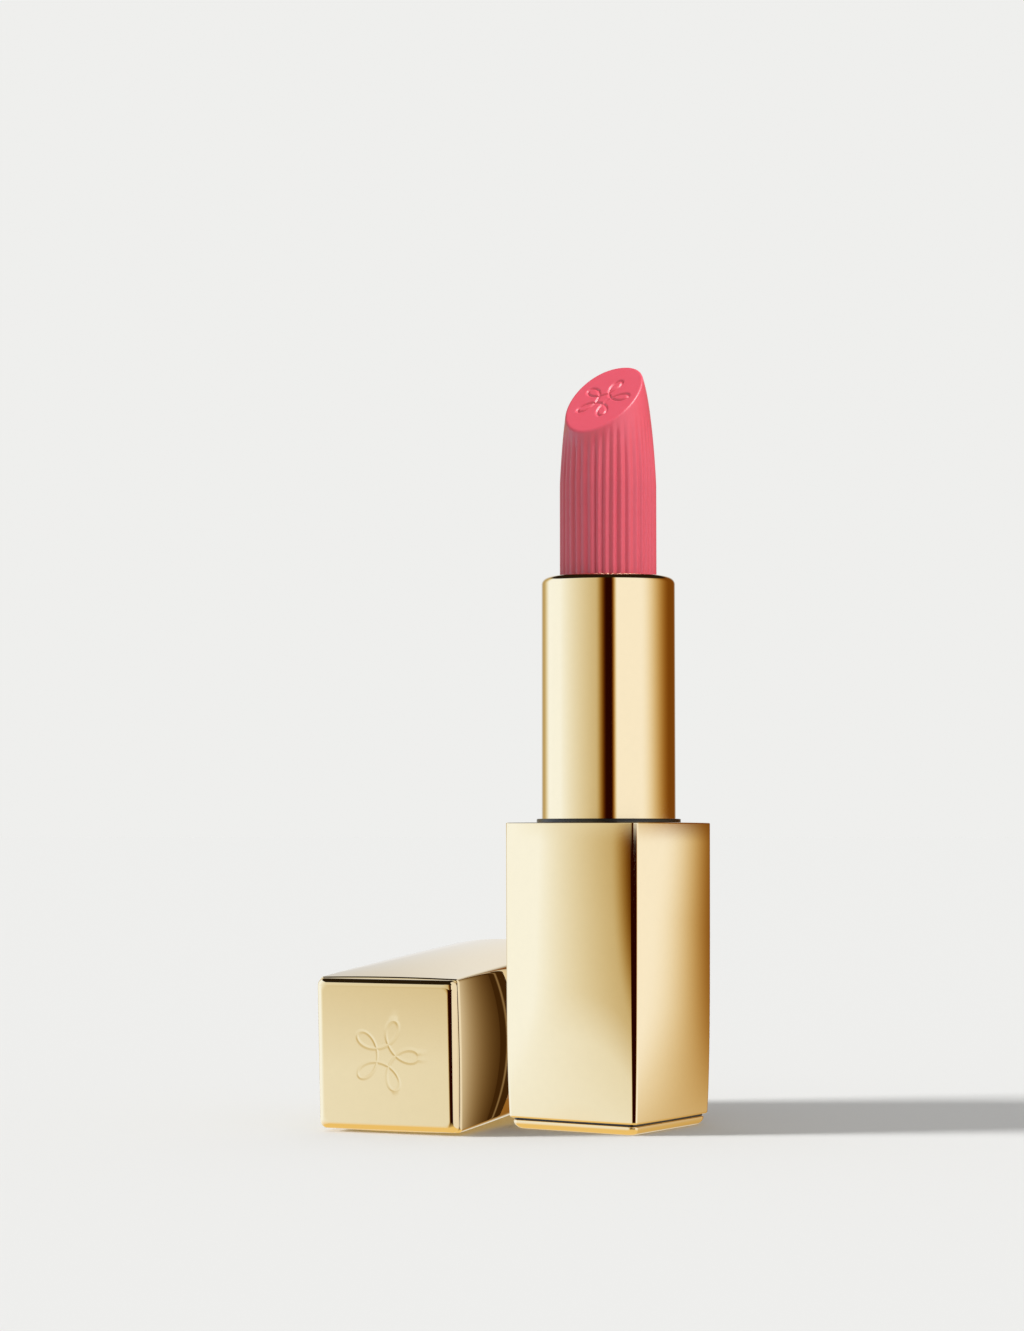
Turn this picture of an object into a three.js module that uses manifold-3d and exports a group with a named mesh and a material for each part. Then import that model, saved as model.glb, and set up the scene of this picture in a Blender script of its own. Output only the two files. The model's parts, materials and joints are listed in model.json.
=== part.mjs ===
// A square lipstick case, open: the swivel base stands upright with the bullet raised, and the
// magnetic cap lies on one of its bowed sides beside it. Millimetres, +Z up. The origin is the
// centre of the foot plate's underside, on the swivel axis.
import * as THREE from 'three';
import { mergeVertices } from 'three/addons/utils/BufferGeometryUtils.js';
import Module from 'manifold-3d';

const wasm = await Module();
wasm.setup();

// ---- driving dimensions ----

// Outside of the case: each side is flat and square at its closed end and bows out to the joint,
// where the base meets the cap.
const JOINT_HALF = 9.8; // axis to corner edge at the joint, measured square to a side
const CROWN = 1.45; // how far the middle of a side bows out past its corner edges at the joint
const CROWN_EASE = 2.7; // how quickly the bow builds up from the closed end
const SLIM = 0.08; // even narrowing of the corners from the joint to the closed end
const TUCK_POWER = 6; // how late the corners tuck in towards the closed end
const WALL = 0.6;
const EDGE = 0.15; // small chamfer on the metal edges
const FIT = 0.08; // play between fixed neighbours, across
const GAP = 0.1; // play between neighbours stacked along an axis
const TOUCH = 0.02; // gap left between faces that rest on each other

// Base
const BASE_HEIGHT = 39.4;
const BASE_TUCK = 0.3;
const PLATE = 1.15; // thickness of the foot plate and of the cap's end plate
const PLATE_ROUND = 1; // radius of their outer edge
const GROOVE = 0.25; // shadow gap behind each plate
const SHELL_END = PLATE + GROOVE;
const FOOT_HALF = 9.23;
const BOSS_DEPTH = 1.9; // plug behind each plate, inside the shell
const BOSS_FIT = 0.12; // play of that plug in the shell
const SEAT_STEP = 0.22; // how far the plug's flange stands back from the plate's edge
const BASE_OPENING = 9.25; // radius of the hole in the shell's top
const TOP_WALL = 0.7;

// Swivel mechanism, from the axis outwards
const BULLET_R = 6.355;
const CUP_INNER_R = 6.45;
const CUP_R = 6.9;
const CUP_WALL = CUP_R - CUP_INNER_R;
const FORK_INNER_R = 7.1;
const FORK_R = 7.6;
const HELIX_INNER_R = 7.78;
const HELIX_R = 8.24;
const SLEEVE_INNER_R = 8.32;
const SLEEVE_R = 8.77;
const BORE_R = 8.95; // running bore of the base for the sleeve
const SLEEVE_TOP = 71.5;
const SLEEVE_BOTTOM = 26.6;
const SLEEVE_EDGE_R = 0.9; // rolled top edge
const LIP_R = 7.3; // mouth of the sleeve
const LIP = 0.5;
const TRAVEL = 29.2; // stroke of the cup
const SWIVEL_TURNS = 1.25; // turns of the sleeve for the whole stroke
const CUP_BOTTOM = 57.4; // with the bullet raised
const CUP_TOP = 69.6;
const CUP_FLOOR = 1;
const LUG_R = 0.8;
const LUG_TIP = 8.1;
const LUG_HEIGHT = CUP_BOTTOM + 1.5;
const LUG_SPARE = 0.5; // room past the lug at each end of its stroke
const FORK_SLOT = 2.1; // width
const HELIX_SLOT_R = 1.15;
const FLANGE_R = 8.5;
const FLANGE_BOTTOM = 22;
const FLANGE_TOP = 25.3;
const FORK_TOP = 69.3;
const FORK_FLOOR = 1.2;
const FORK_HOLE_R = 2.5;
const RING_R = 8.175; // middle of the friction ring's wire
const RING_WIRE = 0.42; // half its thickness

// Base inner parts
const FLANGE_BORE_R = 8.65;
const SHELF = 20.5; // underside of the carrier's shelf, above the weight
const WEIGHT_BORE_R = 7.5;
const WEIGHT_R = 7.35;
const WEIGHT_EDGE = 0.4; // its chamfer, and its play above the foot
const VENT_R = 3;
const MAGNET_R = 1;
const MAGNET_LENGTH = 2.2;
const MAGNET_AT = 7.9; // both ways from the axis
const MAGNET_SINK = 0.05; // how far its face lies below its pocket's mouth
const COLLAR_R = 9.42;
const COLLAR_HEIGHT = 0.5;

// Bullet tip: an ogive of height OGIVE above SHOULDER, cut by a slanted plane
const SHOULDER = 83.65;
const OGIVE = 17.05;
const OGIVE_RISE = 1.2;
const OGIVE_ROUND = 5.34;
const SLANT = THREE.MathUtils.degToRad(45.7);
const SLANT_HEIGHT = 96.35; // where the slanted face crosses the axis

// Cap, measured along its own axis from its closed end
const CAP_LENGTH = 40;
const CAP_TUCK = 0.1;
const END_HALF = 9.58;
const LINER_FLOOR = 2.5;
const LINER_BORE_R = 9;
const LINER_RECESS = 0.7; // behind the cap's mouth edge
const KEEPER_LENGTH = 1;
const CAP_X = -17.98; // centre of the end plate
const CAP_Y = -24.96;
const CAP_YAW = THREE.MathUtils.degToRad(11.5);
const CAP_PITCH = THREE.MathUtils.degToRad(3.05); // it lies tipped onto its heavier closed end

// Facets
const ROUND = 36;
const VENT_SIDES = 20;
const SLEEVE_SIDES = 48;
const SIDE_STEPS = 4;
const CORNER = 0.055; // corner radius as a share of the half width
const LOFT_AT = [0, 0.06, 0.16, 0.32, 0.54, 0.78, 1]; // rings along a shell

// ---- materials ----

function finish(color, roughness, metalness) {
  return new THREE.MeshStandardMaterial({ color, roughness, metalness });
}

const gold = finish(0xe6c685, 0.18, 1);
const steel = finish(0xb9bcc0, 0.35, 1);
const black = finish(0x151312, 0.4, 0);
const plastic = finish(0xe9dfc9, 0.5, 0);
const rubber = finish(0x2b2b2d, 0.8, 0);
const wax = finish(0xcf5568, 0.45, 0);

// ---- solids ----

// Turns a closed three.js geometry into a manifold solid.
function solid(geometry) {
  const bare = geometry.clone();
  bare.deleteAttribute('normal');
  bare.deleteAttribute('uv');
  const welded = mergeVertices(bare, 1e-4);
  const index = welded.index.array;
  const kept = [];
  for (let i = 0; i < index.length; i += 3) {
    const [a, b, c] = [index[i], index[i + 1], index[i + 2]];
    if (a !== b && b !== c && c !== a) kept.push(a, b, c);
  }
  const vertProperties = new Float32Array(welded.attributes.position.array);
  return new wasm.Manifold(new wasm.Mesh({ numProp: 3, vertProperties, triVerts: new Uint32Array(kept) }));
}

// Turns a solid back into a geometry.
function shapeOf(body) {
  const { vertProperties, triVerts } = body.getMesh();
  const geometry = new THREE.BufferGeometry();
  geometry.setAttribute('position', new THREE.BufferAttribute(vertProperties, 3));
  geometry.setIndex(new THREE.BufferAttribute(triVerts, 1));
  geometry.computeVertexNormals();
  return geometry;
}

function part(name, body, material) {
  const mesh = new THREE.Mesh(shapeOf(body), material);
  mesh.name = name;
  return mesh;
}

const minus = (body, ...tools) => tools.reduce((left, tool) => left.subtract(tool), body);

// A solid of revolution about Z from a closed outline of [radius, height] points.
function turned(outline, segments = ROUND) {
  const points = [...outline, outline[0]].map(([r, z]) => new THREE.Vector2(r, z));
  return solid(new THREE.LatheGeometry(points, segments).rotateX(Math.PI / 2));
}

// A plain round bar along Z between two heights.
function bar(radius, from, to, segments = ROUND) {
  return turned([[0, from], [radius, from], [radius, to], [0, to]], segments);
}

// The same bar centred on a point off the axis.
const barAt = (x, y, radius, from, to) => bar(radius, from, to, 12).translate([x, y, 0]);

// A square of half width 1 with rounded corners, each side split into equal steps.
function unitSquare() {
  const shape = new THREE.Shape();
  const run = 1 - CORNER;
  for (let side = 0; side < 4; side++) {
    const turn = (side * Math.PI) / 2;
    const [c, s] = [Math.cos(turn), Math.sin(turn)];
    for (let i = 0; i <= SIDE_STEPS; i++) {
      const along = run * ((2 * i) / SIDE_STEPS - 1);
      const [x, y] = [c - s * along, s + c * along];
      if (side + i === 0) shape.moveTo(x, y);
      else shape.lineTo(x, y);
    }
    shape.absarc(run * (c - s), run * (s + c), CORNER, turn, turn + Math.PI / 2, false);
  }
  return shape;
}

// A tube-like solid along Z with a bowed square section at each ring { z, half, crown }.
function pillow(rings) {
  const steps = rings.length - 1;
  const settings = { depth: 1, steps, bevelEnabled: false, curveSegments: 1 };
  const geometry = new THREE.ExtrudeGeometry(unitSquare(), settings);
  const at = geometry.attributes.position;
  for (let i = 0; i < at.count; i++) {
    const [x, y] = [at.getX(i), at.getY(i)];
    const { z, half, crown } = rings[Math.round(at.getZ(i) * steps)];
    at.setXYZ(i, x * (half + crown * (1 - y * y)), y * (half + crown * (1 - x * x)), z);
  }
  return solid(geometry);
}

// The outside of the base or the cap, a distance t from its closed end.
function sectionAt(t, length, tuck) {
  const left = 1 - t / length;
  const half = JOINT_HALF - SLIM * left - tuck * left ** TUCK_POWER;
  return { z: t, half, crown: CROWN * (1 - left ** CROWN_EASE) };
}

// Rings of that outside between two distances, drawn in by an inset.
function rings(from, to, length, tuck, inset) {
  return LOFT_AT.map((share) => {
    const ring = sectionAt(from + (to - from) * share, length, tuck);
    return { ...ring, half: ring.half - inset };
  });
}

// Rings of the outer skin, with a small chamfer at both ends.
function skin(from, to, length, tuck) {
  const plain = rings(from + EDGE, to - EDGE, length, tuck, 0);
  const [first, last] = [plain[0], plain[plain.length - 1]];
  const low = { ...first, z: from, half: first.half - EDGE };
  const high = { ...last, z: to, half: last.half - EDGE };
  return [low, ...plain, high];
}

// ---- pieces shared by the base and the cap, closed end at z = 0 ----

function endPlate(name, half) {
  const edge = [4, 3, 2, 1, 0].map((i) => {
    const angle = (i * Math.PI) / 8;
    const z = PLATE_ROUND * (1 - Math.sin(angle));
    return { z, half: half - PLATE_ROUND * (1 - Math.cos(angle)), crown: 0 };
  });
  return part(name, pillow([...edge, { z: PLATE, half: half - FIT, crown: 0 }]), gold);
}

// Black plug that carries the end plate: its flange is the floor of the shadow gap.
function endSeat(name, half, length, tuck) {
  const low = PLATE + TOUCH;
  const flange = pillow([low, SHELL_END - TOUCH].map((z) => ({ z, half: half - SEAT_STEP, crown: 0 })));
  const boss = pillow(rings(low + GAP, SHELL_END + BOSS_DEPTH, length, tuck, WALL + BOSS_FIT));
  return part(name, flange.add(boss), black);
}

// ---- base ----

function baseShell() {
  const outside = pillow(skin(SHELL_END, BASE_HEIGHT, BASE_HEIGHT, BASE_TUCK));
  const inside = pillow(rings(SHELL_END - 0.5, BASE_HEIGHT - TOP_WALL, BASE_HEIGHT, BASE_TUCK, WALL));
  const opening = bar(BASE_OPENING, BASE_HEIGHT - 2, BASE_HEIGHT + 1);
  return part('base_shell', minus(outside, inside, opening), gold);
}

const CARRIER_BOTTOM = SHELL_END + BOSS_DEPTH + GAP;
const CARRIER_TOP = BASE_HEIGHT - TOP_WALL - GAP;

function magnetPlaces() {
  const signs = [[1, 1], [-1, 1], [-1, -1], [1, -1]];
  return signs.map(([x, y]) => [x * MAGNET_AT, y * MAGNET_AT]);
}

function baseCarrier() {
  const block = pillow(rings(CARRIER_BOTTOM, CARRIER_TOP, BASE_HEIGHT, BASE_TUCK, WALL + FIT));
  const sleeveBore = bar(BORE_R, FLANGE_TOP + GAP, CARRIER_TOP + 1);
  const flangeBore = bar(FLANGE_BORE_R, FLANGE_BOTTOM - GAP, FLANGE_TOP + 2 * GAP);
  const weightBore = bar(WEIGHT_BORE_R, CARRIER_BOTTOM - 1, SHELF);
  const vent = bar(VENT_R, SHELF - 1, FLANGE_BOTTOM + 1, VENT_SIDES);
  const low = CARRIER_TOP - MAGNET_LENGTH - GAP;
  const pockets = magnetPlaces().map(([x, y]) => barAt(x, y, MAGNET_R + FIT, low, CARRIER_TOP + 1));
  return part('base_carrier', minus(block, sleeveBore, flangeBore, weightBore, vent, ...pockets), plastic);
}

function baseWeight() {
  const [low, high] = [CARRIER_BOTTOM + WEIGHT_EDGE, SHELF - 3 * GAP];
  const outline = [[0, low], [WEIGHT_R - WEIGHT_EDGE, low], [WEIGHT_R, low + WEIGHT_EDGE],
    [WEIGHT_R, high - WEIGHT_EDGE], [WEIGHT_R - WEIGHT_EDGE, high], [0, high]];
  return part('base_weight', turned(outline), steel);
}

function magnets() {
  const top = CARRIER_TOP - MAGNET_SINK;
  return magnetPlaces().map(([x, y], i) => (
    part(`base_magnet_${i + 1}`, barAt(x, y, MAGNET_R, top - MAGNET_LENGTH, top), steel)
  ));
}

function collarRing() {
  const seat = BASE_HEIGHT + 2 * TOUCH;
  const [low, top] = [CARRIER_TOP + GAP, BASE_HEIGHT + COLLAR_HEIGHT];
  const [bore, spigot] = [BORE_R + TOUCH, BASE_OPENING - FIT];
  const outline = [[bore, low], [spigot, low], [spigot, seat], [COLLAR_R, seat],
    [COLLAR_R, top - EDGE], [COLLAR_R - EDGE, top], [bore, top]];
  return part('collar_ring', turned(outline), black);
}

function forkTube() {
  const floor = FLANGE_BOTTOM + FORK_FLOOR;
  const tube = turned([[FORK_HOLE_R, FLANGE_BOTTOM], [FLANGE_R, FLANGE_BOTTOM], [FLANGE_R, FLANGE_TOP],
    [FORK_R, FLANGE_TOP], [FORK_R, FORK_TOP], [FORK_INNER_R, FORK_TOP], [FORK_INNER_R, floor],
    [FORK_HOLE_R, floor]]);
  const end = LUG_R + LUG_SPARE;
  const slotLength = TRAVEL + 2 * end;
  const slots = new THREE.BoxGeometry(4 * FORK_R, FORK_SLOT, slotLength);
  slots.translate(0, 0, LUG_HEIGHT - TRAVEL / 2);
  return part('fork_tube', tube.subtract(solid(slots)), plastic);
}

function frictionRing() {
  const ring = new THREE.TorusGeometry(RING_R, RING_WIRE, 8, 28);
  ring.translate(0, 0, FLANGE_TOP + RING_WIRE + TOUCH);
  return part('friction_ring', solid(ring), rubber);
}

// ---- sleeve ----

function sleeveShell() {
  const centre = SLEEVE_TOP - SLEEVE_EDGE_R;
  const roll = [0, 1, 2, 3, 4].map((i) => {
    const angle = (i * Math.PI) / 8;
    return [SLEEVE_R - SLEEVE_EDGE_R * (1 - Math.cos(angle)), centre + SLEEVE_EDGE_R * Math.sin(angle)];
  });
  const outline = [[SLEEVE_INNER_R, SLEEVE_BOTTOM], [SLEEVE_R, SLEEVE_BOTTOM], ...roll,
    [LIP_R + EDGE, SLEEVE_TOP], [LIP_R, SLEEVE_TOP - EDGE], [LIP_R, SLEEVE_TOP - LIP],
    [SLEEVE_INNER_R - SLEEVE_EDGE_R + LIP, SLEEVE_TOP - LIP], [SLEEVE_INNER_R, centre]];
  return part('sleeve_shell', turned(outline, SLEEVE_SIDES), gold);
}

// The helix that a lug follows, falling as it goes round.
class SlotCurve extends THREE.Curve {
  constructor(start) {
    super();
    this.start = start;
  }

  getPoint(t) {
    const over = Math.PI / 18; // room past the lug at each end of its stroke
    const turn = -over + t * (SWIVEL_TURNS * 2 * Math.PI + 2 * over);
    const angle = this.start + turn;
    const fall = (TRAVEL * turn) / (SWIVEL_TURNS * 2 * Math.PI);
    const radius = (HELIX_INNER_R + HELIX_R) / 2;
    return new THREE.Vector3(radius * Math.cos(angle), radius * Math.sin(angle), LUG_HEIGHT - fall);
  }
}

function helixSlot(start) {
  const section = new THREE.Shape();
  section.absarc(0, 0, HELIX_SLOT_R, 0, 2 * Math.PI, false);
  const settings = { steps: 32, curveSegments: 4, extrudePath: new SlotCurve(start), bevelEnabled: false };
  return solid(new THREE.ExtrudeGeometry(section, settings));
}

function helixTube() {
  const [low, high] = [SLEEVE_BOTTOM + GAP, CUP_TOP + 3 * GAP];
  const tube = turned([[HELIX_INNER_R, low], [HELIX_R, low], [HELIX_R, high], [HELIX_INNER_R, high]]);
  return part('helix_tube', minus(tube, helixSlot(0), helixSlot(Math.PI)), plastic);
}

// ---- cup and bullet ----

function bulletCup() {
  const floor = CUP_BOTTOM + CUP_FLOOR;
  const cup = turned([[0, CUP_BOTTOM], [CUP_R, CUP_BOTTOM], [CUP_R, CUP_TOP], [CUP_INNER_R, CUP_TOP],
    [CUP_INNER_R, floor], [0, floor]]);
  const from = CUP_R - CUP_WALL / 2;
  const lug = (turn) => {
    const pin = new THREE.CylinderGeometry(LUG_R, LUG_R, LUG_TIP - from, 16).rotateZ(Math.PI / 2);
    pin.translate((LUG_TIP + from) / 2, 0, LUG_HEIGHT).rotateZ(turn);
    return solid(pin);
  };
  return part('bullet_cup', cup.add(lug(0)).add(lug(Math.PI)), plastic);
}

function bullet() {
  const bottom = CUP_BOTTOM + CUP_FLOOR + GAP;
  const rise = [0.12, 0.25, 0.38, 0.5, 0.62, 0.73, 0.82, 0.9, 0.96].map((t) => (
    [BULLET_R * (1 - t ** OGIVE_RISE) ** (1 / OGIVE_ROUND), SHOULDER + OGIVE * t]
  ));
  const outline = [[0, bottom], [BULLET_R, bottom], [BULLET_R, SHOULDER], ...rise, [0, SHOULDER + OGIVE]];
  const slice = new THREE.BoxGeometry(40, 40, 20).translate(0, 0, 10);
  slice.rotateX(SLANT).translate(0, 0, SLANT_HEIGHT);
  return part('bullet', turned(outline).subtract(solid(slice)), wax);
}

// ---- cap ----

const LINER_BOTTOM = SHELL_END + BOSS_DEPTH + GAP;
const LINER_TOP = CAP_LENGTH - LINER_RECESS;

function capShell() {
  const outside = pillow(skin(SHELL_END, CAP_LENGTH, CAP_LENGTH, CAP_TUCK));
  const inside = pillow(rings(SHELL_END - 0.5, CAP_LENGTH + 0.5, CAP_LENGTH + 0.5, CAP_TUCK, WALL));
  return part('cap_shell', outside.subtract(inside), gold);
}

function capLiner() {
  const block = pillow(rings(LINER_BOTTOM, LINER_TOP, CAP_LENGTH, CAP_TUCK, WALL + FIT));
  const bore = bar(LINER_BORE_R, LINER_BOTTOM + LINER_FLOOR, LINER_TOP + 1);
  const low = LINER_TOP - KEEPER_LENGTH - GAP;
  const pockets = magnetPlaces().map(([x, y]) => barAt(x, y, MAGNET_R + FIT, low, LINER_TOP + 1));
  return part('cap_liner', minus(block, bore, ...pockets), plastic);
}

function keepers() {
  const top = LINER_TOP - MAGNET_SINK;
  return magnetPlaces().map(([x, y], i) => (
    part(`cap_keeper_${i + 1}`, barAt(x, y, MAGNET_R, top - KEEPER_LENGTH, top), steel)
  ));
}

// Height of the end plate's centre when the tipped cap touches the floor with its bowed side.
function capRestHeight() {
  const reach = ({ z, half, crown }) => (half + crown) * Math.cos(CAP_PITCH) - z * Math.sin(CAP_PITCH);
  return Math.max(...skin(SHELL_END, CAP_LENGTH, CAP_LENGTH, CAP_TUCK).map(reach));
}

function cap() {
  const group = new THREE.Group();
  group.add(endPlate('cap_end_plate', END_HALF), endSeat('cap_end_seat', END_HALF, CAP_LENGTH, CAP_TUCK));
  group.add(capShell(), capLiner(), ...keepers());
  group.rotation.set(CAP_PITCH - Math.PI / 2, 0, CAP_YAW, 'ZXY');
  group.position.set(CAP_X, CAP_Y, capRestHeight());
  return group;
}

// ---- the whole case ----

const lipstick = new THREE.Group();
lipstick.add(endPlate('foot_plate', FOOT_HALF), endSeat('foot_seat', FOOT_HALF, BASE_HEIGHT, BASE_TUCK));
lipstick.add(baseShell(), baseCarrier(), baseWeight(), ...magnets(), collarRing());
lipstick.add(forkTube(), frictionRing(), sleeveShell(), helixTube(), bulletCup(), bullet(), cap());

export default lipstick;
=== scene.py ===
import json
import math
from typing import NamedTuple

import bpy
import numpy as np
from mathutils import Euler, Matrix, Vector

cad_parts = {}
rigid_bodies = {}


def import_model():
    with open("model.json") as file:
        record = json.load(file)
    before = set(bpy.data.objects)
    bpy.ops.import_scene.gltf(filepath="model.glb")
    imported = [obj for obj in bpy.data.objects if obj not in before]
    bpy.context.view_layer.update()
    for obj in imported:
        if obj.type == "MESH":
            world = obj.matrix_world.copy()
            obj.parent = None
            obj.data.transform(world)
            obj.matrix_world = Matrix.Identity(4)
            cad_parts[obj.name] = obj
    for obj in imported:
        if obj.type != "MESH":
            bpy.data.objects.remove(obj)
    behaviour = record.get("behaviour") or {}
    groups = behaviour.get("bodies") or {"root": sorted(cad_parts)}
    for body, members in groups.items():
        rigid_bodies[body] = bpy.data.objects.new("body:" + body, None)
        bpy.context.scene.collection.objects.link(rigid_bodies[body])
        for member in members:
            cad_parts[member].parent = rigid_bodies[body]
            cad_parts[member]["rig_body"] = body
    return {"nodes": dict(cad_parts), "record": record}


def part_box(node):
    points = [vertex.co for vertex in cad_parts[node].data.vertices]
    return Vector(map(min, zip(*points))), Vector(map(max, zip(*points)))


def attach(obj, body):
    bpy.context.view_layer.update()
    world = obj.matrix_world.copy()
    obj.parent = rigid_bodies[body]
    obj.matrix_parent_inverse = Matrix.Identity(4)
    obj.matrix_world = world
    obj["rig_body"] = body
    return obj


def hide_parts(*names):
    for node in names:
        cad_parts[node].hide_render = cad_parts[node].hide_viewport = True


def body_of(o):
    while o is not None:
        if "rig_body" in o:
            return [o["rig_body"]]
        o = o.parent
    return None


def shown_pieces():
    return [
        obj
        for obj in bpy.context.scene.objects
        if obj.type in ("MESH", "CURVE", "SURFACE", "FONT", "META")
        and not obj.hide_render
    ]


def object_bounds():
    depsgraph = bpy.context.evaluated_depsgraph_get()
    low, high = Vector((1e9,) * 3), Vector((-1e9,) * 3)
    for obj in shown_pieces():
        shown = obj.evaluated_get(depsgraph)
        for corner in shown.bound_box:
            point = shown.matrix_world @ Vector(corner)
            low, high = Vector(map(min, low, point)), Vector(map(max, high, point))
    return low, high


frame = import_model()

# An open lipstick case with its cap beside it. Lengths in this file are millimetres until a mesh is
# made; Blender's are metres. A part's height comes from the frame where the frame has it.
MM = 0.001
cad_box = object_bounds()

# ---- driving dimensions, as in the CAD ----

JOINT_HALF = 9.8
CROWN = 1.45
CROWN_EASE = 2.7
SLIM = 0.08
TUCK_POWER = 6
WALL = 0.6
EDGE = 0.15
END_ROUND = 0.32  # of a shell's edge beside its plate
FIT = 0.08
CORNER = 0.055
SHELL_END = 1.4
PLATE = 1.15
PLATE_ROUND = 1
PLATE_CORNER = 0.1

BASE_HEIGHT = 39.4
BASE_TUCK = 0.3
BASE_OPENING = 9.25
TOP_WALL = 0.7
FOOT_HALF = 9.23

CAP_LENGTH = 40
CAP_TUCK = 0.1
END_HALF = 9.58
CAP_X = -17.98
CAP_Y = -24.96
CAP_YAW = math.radians(11.5)
CAP_PITCH = math.radians(3.05)
LINER_BOTTOM = 3.4
LINER_FLOOR = 2.5
LINER_BORE_R = 9
LINER_RECESS = 0.7
KEEPER_R = 1
KEEPER_LENGTH = 1
KEEPER_AT = 7.9

BULLET_R = 6.355
BULLET_BOTTOM = 58.5
SHOULDER = 83.65
OGIVE = 17.05
OGIVE_RISE = 1.2
OGIVE_ROUND = 5.34
SLANT = math.radians(45.7)
SLANT_HEIGHT = 96.35
FLUTES = 38
FLUTE_DEPTH = 0.32
FLUTE_RUN_OUT = 2.6  # the flutes run out over this height below the rim

# ---- mesh building ----


def ease(share):
    """Rises smoothly from 0 to 1 as share does."""
    share = np.clip(share, 0, 1)
    return share * share * (3 - 2 * share)


def stack(name, loops, ends=(), closed=False, sharp_deg=32):
    """A mesh through loops of points in mm. closed joins the last loop to the first, and otherwise
    each end loop is filled by a fan about the point given in ends."""
    count = len(loops[0])
    points = [tuple(p) for loop in loops for p in loop]
    faces = []
    spans = len(loops) if closed else len(loops) - 1
    for i in range(spans):
        a, b = i * count, ((i + 1) % len(loops)) * count
        for k in range(count):
            n = (k + 1) % count
            faces.append((a + k, a + n, b + n, b + k))
    if not closed:
        first, last = len(points), len(points) + 1
        points += [tuple(ends[0]), tuple(ends[1])]
        top = (len(loops) - 1) * count
        for k in range(count):
            n = (k + 1) % count
            faces.append((first, n, k))
            faces.append((last, top + k, top + n))
    mesh = bpy.data.meshes.new(name)
    mesh.from_pydata([(x * MM, y * MM, z * MM) for x, y, z in points], [], faces)
    mesh.shade_smooth()
    mesh.set_sharp_from_angle(angle=math.radians(sharp_deg))
    mesh.validate()
    obj = bpy.data.objects.new(name, mesh)
    bpy.context.scene.collection.objects.link(obj)
    return obj


def spaced(low, high, steps):
    """Values from low to high, closer together near both ends."""
    middle, reach = (low + high) / 2, (high - low) / 2
    return [middle + reach * math.sin(math.pi / 2 * (2 * i / steps - 1)) for i in range(steps + 1)]


def quarter(steps):
    """Pairs (sine, cosine) through a quarter turn."""
    return [(math.sin(a), math.cos(a)) for a in (math.pi / 2 * i / steps for i in range(steps + 1))]


def unit_square(side_steps, corner_steps, corner):
    """Points round a square of half width 1 with rounded corners."""
    run = 1 - corner
    points = []
    for side in range(4):
        turn = side * math.pi / 2
        c, s = math.cos(turn), math.sin(turn)
        points += [(c - s * y, s + c * y) for y in spaced(-run, run, side_steps)]
        for i in range(1, corner_steps):
            a = turn + math.pi / 2 * i / corner_steps
            points.append((run * (c - s) + corner * math.cos(a), run * (s + c) + corner * math.sin(a)))
    return np.array(points)


def bowed(square, z, half, crown=0.0):
    """A loop at height z with a bowed square section."""
    x, y = square[:, 0], square[:, 1]
    return np.stack(
        [x * (half + crown * (1 - y * y)), y * (half + crown * (1 - x * x)), np.full(len(x), float(z))], 1
    )


def round_loop(square, z, radius):
    """A circle with one point for each point of a square loop."""
    angle = np.arctan2(square[:, 1], square[:, 0])
    return np.stack([radius * np.cos(angle), radius * np.sin(angle), np.full(len(angle), float(z))], 1)


def circle(z, radius, count):
    angle = np.arange(count) * 2 * math.pi / count
    return np.stack([radius * np.cos(angle), radius * np.sin(angle), np.full(count, float(z))], 1)


def lathe(name, outline, count=192):
    """A closed ring-shaped solid from an outline of (radius, height)."""
    return stack(name, [circle(z, r, count) for r, z in outline], closed=True)


def section(t, length, tuck):
    """Half width and bow of a shell, a distance t from its closed end."""
    left = 1 - t / length
    half = JOINT_HALF - SLIM * left - tuck * left**TUCK_POWER
    return half, CROWN * (1 - left**CROWN_EASE)


SQUARE = unit_square(28, 8, CORNER)


def outer_loops(length, tuck, radius=EDGE):
    """The outside of a shell from the rim at its closed end to the rim at the joint."""
    loops = []
    half, crown = section(SHELL_END + END_ROUND, length, tuck)
    for s, c in quarter(7):
        loops.append(bowed(SQUARE, SHELL_END + END_ROUND * (1 - c), half - END_ROUND * (1 - s), crown))
    for t in spaced(SHELL_END + END_ROUND, length - radius, 56)[1:-1]:
        loops.append(bowed(SQUARE, t, *section(t, length, tuck)))
    half, crown = section(length - radius, length, tuck)
    for s, c in quarter(5):
        loops.append(bowed(SQUARE, length - radius * (1 - s), half - radius * (1 - c), crown))
    return loops


def inner_loops(high, length, tuck):
    """The inside of a shell from a height down to its closed end."""
    loops = []
    for t in reversed(spaced(SHELL_END, high, 20)):
        half, crown = section(t, length, tuck)
        loops.append(bowed(SQUARE, t, half - WALL, crown))
    return loops


def make_base_shell():
    loops = outer_loops(BASE_HEIGHT, BASE_TUCK)
    half, crown = section(BASE_HEIGHT, BASE_HEIGHT, BASE_TUCK)
    loops.append(bowed(SQUARE, BASE_HEIGHT, half - 2 * EDGE, crown))
    for s, c in quarter(4):
        loops.append(round_loop(SQUARE, BASE_HEIGHT - EDGE * (1 - c), BASE_OPENING + EDGE * (1 - s)))
    loops.append(round_loop(SQUARE, BASE_HEIGHT - TOP_WALL, BASE_OPENING))
    loops += inner_loops(BASE_HEIGHT - TOP_WALL, BASE_HEIGHT, BASE_TUCK)
    return stack("base_shell_fine", loops, closed=True)


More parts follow.
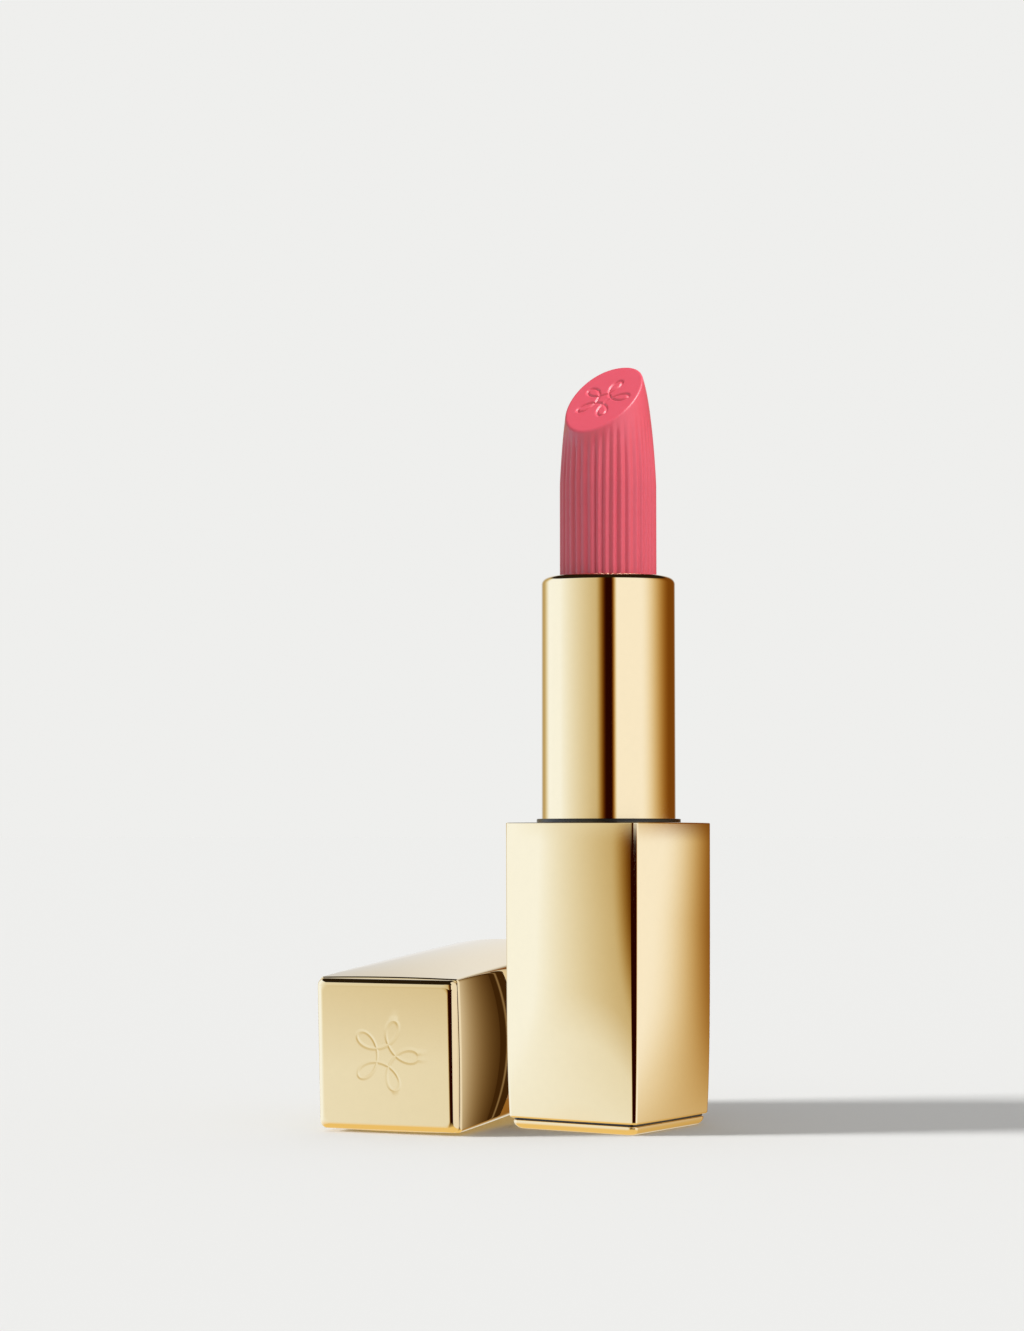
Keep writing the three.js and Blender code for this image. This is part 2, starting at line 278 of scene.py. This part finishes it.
def make_cap_shell():
    loops = outer_loops(CAP_LENGTH, CAP_TUCK)
    half, crown = section(CAP_LENGTH, CAP_LENGTH, CAP_TUCK)
    lip = half - WALL
    for s, c in quarter(4):
        loops.append(bowed(SQUARE, CAP_LENGTH - EDGE * (1 - c), lip + EDGE * (1 - s), crown))
    loops += inner_loops(CAP_LENGTH - EDGE, CAP_LENGTH, CAP_TUCK)[1:]
    return stack("cap_shell_fine", loops, closed=True)


# ---- ornament: a generic looped rosette ----

ROSETTE_LOOPS = 5
ROSETTE_WAVE = 0.62
END_ORNAMENT = (4.6, 0.026, 0.15)  # outer radius, depth and half width of the groove
WAX_ORNAMENT = (3.8, 0.2, 0.17)


def rosette(radius):
    """Points along a looped rosette of an outer radius."""
    t = np.linspace(0, 2 * math.pi, 900, endpoint=False)
    size = radius / (1 + ROSETTE_WAVE)
    fast = ROSETTE_LOOPS - 1
    x = size * (np.cos(t) + ROSETTE_WAVE * np.cos(fast * t))
    y = size * (np.sin(t) - ROSETTE_WAVE * np.sin(fast * t))
    return np.stack([x, y], 1)


def engraved(flat, radius, depth, width):
    """How deep the rosette's groove is at each flat point."""
    line = rosette(radius)
    away = np.full(len(flat), 1e9)
    for part in np.array_split(line, 30):
        d = flat[:, None, :] - part[None, :, :]
        away = np.minimum(away, (d * d).sum(2).min(1))
    return depth * np.exp(-away / width**2)


# ---- plates on the closed ends ----

PLATE_SQUARE = unit_square(72, 14, PLATE_CORNER)


def make_plate(name, half, ornament=None):
    """A thin plate, outer face at z = 0, with a rounded outer edge."""
    square, edge = PLATE_SQUARE, PLATE_ROUND
    loops = [bowed(square, PLATE, (half - EDGE) * share) for share in (0.5, 0.98)]
    for s, c in quarter(4):
        loops.append(bowed(square, PLATE - EDGE * (1 - c), half - EDGE * (1 - s)))
    for s, c in quarter(9):
        loops.append(bowed(square, edge * (1 - s), half - edge * (1 - c)))
    flat = half - edge
    shares = [0.995, 0.97, 0.9, 0.8, 0.7, 0.6]
    shares += list(np.linspace(0.52, 0.01, 90)) if ornament else [0.4, 0.2]
    for share in shares:
        loop = bowed(square, 0, flat * share)
        if ornament:
            loop[:, 2] = engraved(loop[:, :2], *ornament)
        loops.append(loop)
    return stack(name, loops, ends=((0, 0, PLATE), (0, 0, 0)), sharp_deg=40)


# ---- sleeve and collar ----


def from_box(node):
    low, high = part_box(node)
    return low / MM, high / MM


def make_sleeve():
    low, high = from_box("sleeve_shell")
    outside, top, bottom = high.x, high.z, low.z
    roll, lip_r, lip, inside = 0.9, 7.3, 0.5, 8.32
    outline = [(inside, bottom), (outside - 0.1, bottom), (outside, bottom + 0.1)]
    outline += [(outside, z) for z in np.linspace(bottom + 0.4, top - roll - 0.05, 24)]
    outline += [(outside - roll * (1 - c), top - roll * (1 - s)) for s, c in quarter(12)]
    outline += [(lip_r + 0.2, top)]
    outline += [(lip_r + 0.12 * (1 - s), top - 0.12 * (1 - c)) for s, c in quarter(4)]
    outline += [(lip_r, top - lip), (inside - 0.4, top - lip), (inside, top - roll)]
    return lathe("sleeve_shell_fine", outline, 256)


def make_collar():
    low, high = from_box("collar_ring")
    outside, top, bottom, edge = high.x, high.z, low.z, 0.14
    bore, spigot, seat = 8.97, 9.17, 39.44
    outline = [(bore, bottom), (spigot, bottom), (spigot, seat), (outside, seat)]
    outline += [(outside - edge * (1 - c), top - edge * (1 - s)) for s, c in quarter(5)]
    outline += [(bore, top)]
    return lathe("collar_ring_fine", outline)


# ---- bullet ----

BULLET_COUNT = 1008


def bullet_radius(z):
    rise = np.clip((z - SHOULDER) / OGIVE, 0, 0.9999)
    return BULLET_R * (1 - rise**OGIVE_RISE) ** (1 / OGIVE_ROUND)


def rim_height(angle):
    """Height at which the slanted face meets the side, by halving."""
    low, high = np.full(len(angle), SHOULDER), np.full(len(angle), SHOULDER + OGIVE)
    slope = np.sin(angle) * math.tan(SLANT)
    for _ in range(40):
        z = (low + high) / 2
        over = z > SLANT_HEIGHT + bullet_radius(z) * slope
        high, low = np.where(over, z, high), np.where(over, low, z)
    return z


def flute_depth(angle, z, rim):
    """How far the fluted side lies inside the smooth one."""
    lean = 0.25 * np.sin(3 * angle + 0.6) + 0.15 * np.sin(7 * angle)
    drift = lean * ((z - 71) / 20) ** 2
    wave = np.abs(np.sin(FLUTES / 2 * (angle + 0.09 * drift) + 0.35 * np.sin(5 * angle)))
    swell = 0.72 + 0.28 * np.sin(4 * angle + 1.1) * np.sin(9 * angle)
    fade = ease((rim - z) / FLUTE_RUN_OUT) * (1 - ease((z - 85) / 9))
    return FLUTE_DEPTH * (1 - wave**1.4) * swell * fade


def make_bullet():
    angle = np.arange(BULLET_COUNT) * 2 * math.pi / BULLET_COUNT
    rim = rim_height(angle)

    def side(z):
        r = bullet_radius(z) - flute_depth(angle, z, rim)
        return np.stack([r * np.cos(angle), r * np.sin(angle), z], 1)

    edge = side(rim)
    centre = np.array([0, (edge[:, 1].max() + edge[:, 1].min()) / 2, 0])
    centre[2] = SLANT_HEIGHT + centre[1] * math.tan(SLANT)
    down = side(rim - 0.35)
    inward = edge + (centre - edge) * 0.055
    loops = [side(BULLET_BOTTOM + (rim - 0.35 - BULLET_BOTTOM) * s) for s in np.linspace(0, 1, 60)]
    for u in np.linspace(0, 1, 8)[1:]:
        loops.append((1 - u) ** 2 * down + 2 * u * (1 - u) * edge + u * u * inward)
    normal = np.array([0, -math.sin(SLANT), math.cos(SLANT)])
    along = np.array([0, math.cos(SLANT), math.sin(SLANT)])
    for share in list(np.linspace(0.985, 0.6, 16)) + list(np.linspace(0.59, 0.01, 84)):
        loop = centre + (inward - centre) * share
        flat = np.stack([loop[:, 0], (loop - centre) @ along], 1)
        loops.append(loop - engraved(flat, *WAX_ORNAMENT)[:, None] * normal)
    return stack("bullet_fine", loops, ends=((0, 0, BULLET_BOTTOM), centre), sharp_deg=60)


# ---- cap's inside ----


def make_liner():
    top = CAP_LENGTH - LINER_RECESS
    loops = []
    for t in spaced(LINER_BOTTOM, top - 0.2, 12):
        half, crown = section(t, CAP_LENGTH, CAP_TUCK)
        loops.append(bowed(SQUARE, t, half - WALL - FIT, crown))
    half, crown = section(top, CAP_LENGTH, CAP_TUCK)
    half -= WALL + FIT
    loops += [bowed(SQUARE, top, half - 0.2, crown), bowed(SQUARE, top, half - 0.3, crown)]
    mouth = 0.25
    for s, c in quarter(4):
        loops.append(round_loop(SQUARE, top - mouth * (1 - c), LINER_BORE_R + mouth * (1 - s)))
    floor = LINER_BOTTOM + LINER_FLOOR
    loops += [round_loop(SQUARE, z, LINER_BORE_R) for z in (top - 2, floor + 1, floor)]
    liner = stack("cap_liner_fine", loops, ends=((0, 0, LINER_BOTTOM), (0, 0, floor)))
    for i, (x, y) in enumerate(keeper_places()):
        low = top - KEEPER_LENGTH - 0.1
        outline = [circle(z, KEEPER_R + FIT, 48) + np.array([x, y, 0]) for z in (low, top + 1)]
        cutter = stack(f"pocket_{i}", outline, ends=((x, y, low), (x, y, top + 1)))
        cut(liner, cutter)
    return liner


def cut(obj, cutter):
    """Takes one mesh out of another, for good."""
    modifier = obj.modifiers.new("cut", "BOOLEAN")
    modifier.operation = "DIFFERENCE"
    modifier.solver = "EXACT"
    modifier.object = cutter
    evaluated = obj.evaluated_get(bpy.context.evaluated_depsgraph_get())
    mesh = bpy.data.meshes.new_from_object(evaluated)
    obj.modifiers.clear()
    obj.data = mesh
    bpy.data.objects.remove(cutter)


def keeper_places():
    return [(x * KEEPER_AT, y * KEEPER_AT) for x, y in ((1, 1), (-1, 1), (-1, -1), (1, -1))]


def make_keeper(i, x, y):
    top = CAP_LENGTH - LINER_RECESS - 0.05
    bevel = 0.12
    levels = [(top - KEEPER_LENGTH, 0.96), (top - KEEPER_LENGTH, 1), (top - bevel, 1)]
    levels += [(top, 1 - bevel), (top, 0.8)]
    loops = [circle(z, KEEPER_R * share, 48) + np.array([x, y, 0]) for z, share in levels]
    ends = ((x, y, top - KEEPER_LENGTH), (x, y, top))
    return stack(f"cap_keeper_{i}_fine", loops, ends=ends, sharp_deg=25)


# ---- materials ----


class Nodes:
    """A material's node tree, with short ways to add and join nodes."""

    def __init__(self, name):
        self.material = bpy.data.materials.new(name)
        self.material.use_nodes = True
        self.tree = self.material.node_tree
        self.shader = self.tree.nodes["Principled BSDF"]
        self.place = self.add("ShaderNodeTexCoord").outputs["Object"]

    def add(self, kind, **inputs):
        node = self.tree.nodes.new(kind)
        for key, value in inputs.items():
            node.inputs[key.replace("_", " ")].default_value = value
        return node

    def join(self, source, node, socket):
        self.tree.links.new(source, node.inputs[socket])

    def noise(self, scale, detail=3.0, stretch=(1, 1, 1)):
        mapping = self.add("ShaderNodeMapping", Scale=stretch)
        self.join(self.place, mapping, "Vector")
        noise = self.add("ShaderNodeTexNoise", Scale=scale, Detail=detail)
        self.join(mapping.outputs["Vector"], noise, "Vector")
        return noise.outputs["Fac"]

    def ranged(self, value, low, high):
        node = self.add("ShaderNodeMapRange", To_Min=low, To_Max=high)
        self.join(value, node, "Value")
        return node.outputs["Result"]

    def shade(self, value, dark, light):
        """The base colour, between two colours by a value."""
        ramp = self.add("ShaderNodeValToRGB")
        ramp.color_ramp.elements[0].color = (*dark, 1)
        ramp.color_ramp.elements[1].color = (*light, 1)
        self.join(value, ramp, "Fac")
        self.join(ramp.outputs["Color"], self.shader, "Base Color")

    def bump(self, value, strength, distance):
        node = self.add("ShaderNodeBump", Strength=strength, Distance=distance)
        self.join(value, node, "Height")
        self.join(node.outputs["Normal"], self.shader, "Normal")

    def set(self, **inputs):
        for key, value in inputs.items():
            self.shader.inputs[key.replace("_", " ")].default_value = value
        return self


GOLD = (0.93, 0.78, 0.52)


def tone(colour, factor):
    return tuple(c * factor for c in colour)


def gold():
    n = Nodes("satin_gold")
    n.set(Metallic=1.0)
    n.shade(n.noise(900, 2), tone(GOLD, 0.985), tone(GOLD, 1.01))
    n.join(n.ranged(n.noise(2600, 4), 0.045, 0.065), n.shader, "Roughness")
    n.bump(n.noise(1500, 3), 0.02, 0.00002)
    return n.material


def wax():
    n = Nodes("pink_wax")
    n.set(Subsurface_Weight=0.1, Subsurface_Radius=(0.9, 0.3, 0.25), Subsurface_Scale=0.0002)
    n.set(IOR=1.45, Coat_Weight=0.3, Coat_Roughness=0.15)
    n.shade(n.noise(700, 3), (0.64, 0.082, 0.12), (0.68, 0.09, 0.132))
    n.join(n.ranged(n.noise(1900, 4, (1, 1, 0.15)), 0.3, 0.42), n.shader, "Roughness")
    n.bump(n.noise(2600, 4, (1, 1, 0.1)), 0.12, 0.00004)
    return n.material


def black_trim():
    n = Nodes("black_trim")
    n.set(Coat_Weight=0.15)
    n.shade(n.noise(1200), (0.008, 0.007, 0.007), (0.018, 0.016, 0.015))
    n.join(n.ranged(n.noise(4000), 0.3, 0.42), n.shader, "Roughness")
    n.bump(n.noise(6000), 0.1, 0.00002)
    return n.material


def inner_plastic():
    n = Nodes("inner_plastic")
    n.shade(n.noise(500), (0.74, 0.67, 0.54), (0.80, 0.73, 0.60))
    n.join(n.ranged(n.noise(3000), 0.42, 0.56), n.shader, "Roughness")
    n.bump(n.noise(5000), 0.12, 0.00003)
    return n.material


def ring_rubber():
    n = Nodes("ring_rubber")
    n.shade(n.noise(1500), (0.02, 0.02, 0.021), (0.035, 0.035, 0.036))
    n.join(n.ranged(n.noise(3000), 0.65, 0.8), n.shader, "Roughness")
    n.bump(n.noise(4000), 0.2, 0.00003)
    return n.material


def plain_steel():
    n = Nodes("plain_steel")
    n.set(Metallic=1.0)
    n.shade(n.noise(800), (0.50, 0.50, 0.51), (0.62, 0.62, 0.63))
    n.join(n.ranged(n.noise(1600, 4, (1, 1, 0.08)), 0.22, 0.38), n.shader, "Roughness")
    n.bump(n.noise(3000, 4, (1, 1, 0.08)), 0.08, 0.00002)
    return n.material


FINISHES = {
    "gold": gold(),
    "wax": wax(),
    "black_trim": black_trim(),
    "inner_plastic": inner_plastic(),
    "ring_rubber": ring_rubber(),
    "steel": plain_steel(),
}
SLOT_OF = {row["node"]: row["material_slot"] for row in frame["record"]["subparts"]}
BODY_OF = {node: body for body, nodes in frame["record"]["behaviour"]["bodies"].items() for node in nodes}

# ---- putting the pieces on the frame ----


def stand_for(obj, node):
    """Gives a fine piece the finish and body of the CAD node it replaces."""
    obj.data.materials.clear()
    obj.data.materials.append(FINISHES[SLOT_OF[node]])
    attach(obj, BODY_OF[node])
    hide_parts(node)
    return obj


def cap_rest_height():
    """Height of the end plate's centre with the tipped cap lying on its bowed side."""
    rows = [(t, *section(t, CAP_LENGTH, CAP_TUCK)) for t in np.linspace(SHELL_END, CAP_LENGTH, 400)]
    return max((h + c) * math.cos(CAP_PITCH) - t * math.sin(CAP_PITCH) for t, h, c in rows)


def lay_down(obj):
    """Moves a piece of the cap, built upright, to where the cap lies."""
    place = Vector((CAP_X, CAP_Y, from_box("cap_shell")[0].z + cap_rest_height())) * MM
    turn = Matrix.Rotation(CAP_YAW, 4, "Z") @ Matrix.Rotation(CAP_PITCH - math.pi / 2, 4, "X")
    obj.data.transform(Matrix.Translation(place) @ turn)
    return obj


for name, node in frame["nodes"].items():
    node.data.materials.clear()
    node.data.materials.append(FINISHES[SLOT_OF[name]])

stand_for(make_base_shell(), "base_shell")
stand_for(make_plate("foot_plate_fine", FOOT_HALF), "foot_plate")
stand_for(make_sleeve(), "sleeve_shell")
stand_for(make_collar(), "collar_ring")
stand_for(make_bullet(), "bullet")
stand_for(lay_down(make_cap_shell()), "cap_shell")
stand_for(lay_down(make_plate("cap_end_plate_fine", END_HALF, END_ORNAMENT)), "cap_end_plate")
stand_for(lay_down(make_liner()), "cap_liner")
for i, (x, y) in enumerate(keeper_places(), 1):
    stand_for(lay_down(make_keeper(i, x, y)), f"cap_keeper_{i}")
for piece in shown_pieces():
    if body_of(piece) == ["cap"]:
        piece.visible_glossy = False  # the base mirrors the studio, and not the cap beside it

# ---- camera ----

VIEW = math.radians(32.99)  # the camera's direction round the swivel axis
BACK = Vector((math.sin(VIEW), -math.cos(VIEW), 0))
RIGHT = Vector((math.cos(VIEW), math.sin(VIEW), 0))
CAMERA_DISTANCE = 372.4
CAMERA_SIDE = -12.65
CAMERA_HEIGHT = 37.68
CAMERA_PITCH = math.radians(3.43)
LENS = 76.87


def make_camera():
    data = bpy.data.cameras.new("camera")
    data.lens = LENS
    data.clip_start, data.clip_end = 0.01, 200
    camera = bpy.data.objects.new("camera", data)
    camera.location = (BACK * CAMERA_DISTANCE + RIGHT * CAMERA_SIDE + Vector((0, 0, CAMERA_HEIGHT))) * MM
    camera.rotation_euler = Euler((math.pi / 2 + CAMERA_PITCH, 0, VIEW))
    bpy.context.scene.collection.objects.link(camera)
    bpy.context.scene.camera = camera


# ---- studio: an even floor and backdrop, a low key light, and a tent that the metal reflects ----

BACKDROP = (0.862, 0.862, 0.847)
AMBIENT = 0.515
FLOOR_TONE = (0.8, 0.8, 0.786)
KEY_STRENGTH = 8.86
KEY_HEIGHT = math.radians(11.5)
KEY_DRIFT = 0.12  # how far its light runs away from the camera
KEY_SPREAD = math.radians(14)
SIDE_POWER = 5.6
SIDE_TOWARD = (RIGHT * 0.42 + BACK * 0.26 + Vector((0, 0, 0.87))).normalized()
SIDE_DISTANCE, SIDE_SIZE, SIDE_AIM = 0.6, 0.35, 0.08  # metres; the last is the height it points at
FLOOR_HALF = 60  # metres

# The tent is a drum with bright walls on either side of a dark flag before the camera, and a dim
# corner behind on the right. Angles are degrees from the camera's direction, right positive.
TENT_R = 200
TENT_BOTTOM, TENT_TOP = -160, 200
UNDER = (0.9, 0.66, 0.26, 1.0)  # what the edges that face down reflect
OVER = (0.02, 0.012, 0.005, 1.0)
FLAG = 0.02
WALL_PEAK = 1.02
CORNER_LEVEL = 0.2
BEHIND = 0.87
CORNER_END = (147, 177)  # where the dim corner gives way to the wall behind


class Wall(NamedTuple):
    """The tent's wall at one height."""

    left: tuple  # where the flag's left edge ends and the left wall is clear of it
    near: float  # the left wall's brightness there
    full: float  # where the left wall is brightest
    dip: float  # how much darker it is again at its far end
    right: tuple  # where the flag's right edge ends and the right wall is clear of it
    fade: tuple  # where the right wall starts to fall into the dim corner, and where it ends


BASE_LOW = Wall(left=(27, 40), near=0.83, full=85, dip=0.15, right=(40, 58), fade=(84, 162))
BASE_MIDDLE = Wall(left=(27, 40), near=0.65, full=78, dip=0.3, right=(40, 58), fade=(90, 156))
BASE_HIGH = Wall(left=(27, 40), near=0.62, full=77, dip=0.3, right=(40, 58), fade=(96, 158))
SLEEVE = Wall(left=(5, 24), near=0.66, full=92, dip=0.5, right=(3, 13), fade=(52, 127))
TENT_ROWS = [
    (-50, BASE_LOW), (-22, BASE_LOW), (-5, BASE_MIDDLE), (18, BASE_MIDDLE), (36, BASE_HIGH),
    (41, SLEEVE), (170, SLEEVE),
]


def between(degree, ends):
    return (degree - ends[0]) / (ends[1] - ends[0])


def wall_level(wall, degree):
    """Brightness of a wall at an angle."""
    if degree < 0:
        away = -degree
        rise = np.clip(between(away, (wall.left[1], wall.full)), 0, 1)
        level = blend(wall.near, WALL_PEAK, rise) - wall.dip * ease(between(away, (120, 148)))
        level += (wall.dip + BEHIND - WALL_PEAK) * ease(between(away, (150, 180)))
        shown = ease(between(away, wall.left))
    else:
        level = blend(WALL_PEAK, CORNER_LEVEL, ease(between(degree, wall.fade)))
        level += (BEHIND - CORNER_LEVEL) * ease(between(degree, CORNER_END))
        shown = ease(between(degree, wall.right))
    return blend(FLAG, level, shown)


def blend(first, second, share):
    return first + (second - first) * share


def warm(brightness, degree):
    """Light that is warmer where it is dimmer, most of all on the right, and plain behind."""
    leftward = ease((20 - degree) / 40)
    behind = ease((abs(degree) - 150) / 15)
    green = blend(brightness**1.7, 1.1 * brightness**1.6, leftward)
    blue = blend(brightness**3.2, 1.25 * brightness**3, leftward)
    return (brightness, blend(green, brightness, behind), blend(blue, brightness, behind), 1.0)


def make_tent():
    """A closed drum round the object, seen only by reflections."""
    degrees = np.arange(-180, 180, 1.0)
    rows = [(TENT_BOTTOM, [UNDER] * len(degrees))]
    for height, wall in TENT_ROWS:
        rows.append((height, [warm(wall_level(wall, degree), degree) for degree in degrees]))
    rows.append((TENT_TOP, [OVER] * len(degrees)))
    points, colours = [], []
    for height, row in rows:
        for degree, colour in zip(degrees, row):
            a = math.radians(degree)
            flat = (BACK * math.cos(a) + RIGHT * math.sin(a)) * TENT_R
            points.append((flat + Vector((0, 0, height))) * MM)
            colours.append(colour)
    count = len(degrees)
    faces = []
    for row in range(len(rows) - 1):
        low, high = row * count, (row + 1) * count
        faces += [(low + k, high + k, high + (k + 1) % count, low + (k + 1) % count) for k in range(count)]
    faces.append(tuple(range(count)))
    faces.append(tuple(reversed(range((len(rows) - 1) * count, len(rows) * count))))
    make_glowing("tent", points, faces, colours)


def make_glowing(name, points, faces, colours):
    """A stage piece that glows with a colour at each point, seen only by reflections, and only
    from the front of its faces."""
    mesh = bpy.data.meshes.new(name)
    mesh.from_pydata(points, [], faces)
    glow = mesh.color_attributes.new("glow", "FLOAT_COLOR", "POINT")
    glow.data.foreach_set("color", np.array(colours, np.float32).ravel())
    obj = bpy.data.objects.new(name, mesh)
    bpy.context.scene.collection.objects.link(obj)
    material = bpy.data.materials.new(f"{name}_light")
    material.use_nodes = True
    tree = material.node_tree
    tree.nodes.clear()
    colour = tree.nodes.new("ShaderNodeVertexColor")
    colour.layer_name = "glow"
    emission = tree.nodes.new("ShaderNodeEmission")
    clear = tree.nodes.new("ShaderNodeBsdfTransparent")
    side = tree.nodes.new("ShaderNodeNewGeometry")
    mix = tree.nodes.new("ShaderNodeMixShader")
    output = tree.nodes.new("ShaderNodeOutputMaterial")
    tree.links.new(colour.outputs["Color"], emission.inputs["Color"])
    tree.links.new(side.outputs["Backfacing"], mix.inputs[0])
    tree.links.new(emission.outputs["Emission"], mix.inputs[1])
    tree.links.new(clear.outputs["BSDF"], mix.inputs[2])
    tree.links.new(mix.outputs["Shader"], output.inputs["Surface"])
    mesh.materials.append(material)
    obj.visible_camera = obj.visible_diffuse = obj.visible_shadow = obj.visible_transmission = False


# A card between the cap and the base, a painted reflection of the base in the cap's side: even at its near
# end, then fading to an edge, and dark beyond it, painted shade for the base's shaded face, but for one
# thin bright line, a painted highlight for the base's lit edge. Lengths run from its near end.
CARD_NEAR, CARD_FAR = Vector((-7.34, -24.2, 0)), Vector((-10.75, -5, 0))
CARD_HEIGHT = 26
CARD_LIGHT = 0.9
CARD_EVEN = 3
CARD_FADE = 4.7  # it fades to about a third in this length
CARD_EDGE = 14.4
CARD_DARK = 0.05
# the thin bright line: a painted highlight, the base's lit edge as the cap's side would mirror it
LINE_AT, LINE_HALF, LINE_LIGHT = 16.6, 0.6, 0.3


def card_level(distance):
    """Brightness of the card at a distance from its near end."""
    if distance > CARD_EDGE:
        return max(CARD_DARK, LINE_LIGHT * (1 - abs(distance - LINE_AT) / LINE_HALF))
    return CARD_LIGHT * math.exp(-max(0, distance - CARD_EVEN) / CARD_FADE)


def make_card():
    """A thin card that the side of the cap reflects in place of the base, a painted reflection of the base
    there; from the base's side it isn't there.
    """
    run = CARD_FAR - CARD_NEAR
    distances = np.arange(0, run.length, 0.1)
    points, colours = [], []
    for distance in distances:
        foot = CARD_NEAR + run.normalized() * distance
        level = card_level(distance)
        for height in (0, CARD_HEIGHT):
            points.append((foot + Vector((0, 0, height))) * MM)
            colours.append((level, level**1.3, level**1.85, 1.0))
    faces = [(2 * i, 2 * i + 1, 2 * i + 3, 2 * i + 2) for i in range(len(distances) - 1)]
    make_glowing("card", points, faces, colours)


def make_floor():
    corners = [(x * FLOOR_HALF, y * FLOOR_HALF, 0) for x, y in ((-1, -1), (1, -1), (1, 1), (-1, 1))]
    mesh = bpy.data.meshes.new("floor")
    mesh.from_pydata(corners, [], [(0, 1, 2, 3)])
    floor = bpy.data.objects.new("floor", mesh)
    floor.location.z = cad_box[0].z
    floor.visible_glossy = floor.visible_diffuse = False
    bpy.context.scene.collection.objects.link(floor)
    material = bpy.data.materials.new("pale_floor")
    material.use_nodes = True
    shader = material.node_tree.nodes["Principled BSDF"]
    shader.inputs["Base Color"].default_value = (*FLOOR_TONE, 1)
    shader.inputs["Roughness"].default_value = 1.0
    shader.inputs["Specular IOR Level"].default_value = 0.0
    mesh.materials.append(material)
    return floor


def add_light(kind, name, energy, direction, lit):
    data = bpy.data.lights.new(name, kind)
    data.energy = energy
    light = bpy.data.objects.new(name, data)
    light.rotation_mode = "QUATERNION"
    light.rotation_quaternion = direction.to_track_quat("-Z", "Y")
    bpy.context.scene.collection.objects.link(light)
    group = bpy.data.collections.new(f"{name}_lights")
    for obj in lit:
        group.objects.link(obj)
    light.light_linking.receiver_collection = group
    return light


def make_lights(floor):
    aim = RIGHT - BACK * KEY_DRIFT - Vector((0, 0, math.tan(KEY_HEIGHT)))
    key = add_light("SUN", "key", KEY_STRENGTH, aim, [floor])
    key.data.angle = KEY_SPREAD
    side = add_light("AREA", "side", SIDE_POWER, -SIDE_TOWARD, [bpy.data.objects["bullet_fine"]])
    side.data.size = SIDE_SIZE
    side.location = SIDE_TOWARD * SIDE_DISTANCE + Vector((0, 0, SIDE_AIM))


def make_world():
    world = bpy.data.worlds.new("studio")
    bpy.context.scene.world = world
    world.use_nodes = True
    tree = world.node_tree
    ambient = tree.nodes["Background"]
    ambient.inputs["Color"].default_value = (1, 1, 1, 1)
    ambient.inputs["Strength"].default_value = AMBIENT
    backdrop = tree.nodes.new("ShaderNodeBackground")
    backdrop.inputs["Color"].default_value = (*BACKDROP, 1)
    path = tree.nodes.new("ShaderNodeLightPath")
    mix = tree.nodes.new("ShaderNodeMixShader")
    tree.links.new(path.outputs["Is Camera Ray"], mix.inputs[0])
    tree.links.new(ambient.outputs[0], mix.inputs[1])
    tree.links.new(backdrop.outputs[0], mix.inputs[2])
    tree.links.new(mix.outputs[0], tree.nodes["World Output"].inputs["Surface"])


make_camera()
make_lights(make_floor())
make_tent()
make_card()
make_world()
bpy.context.scene.view_settings.view_transform = "Standard"
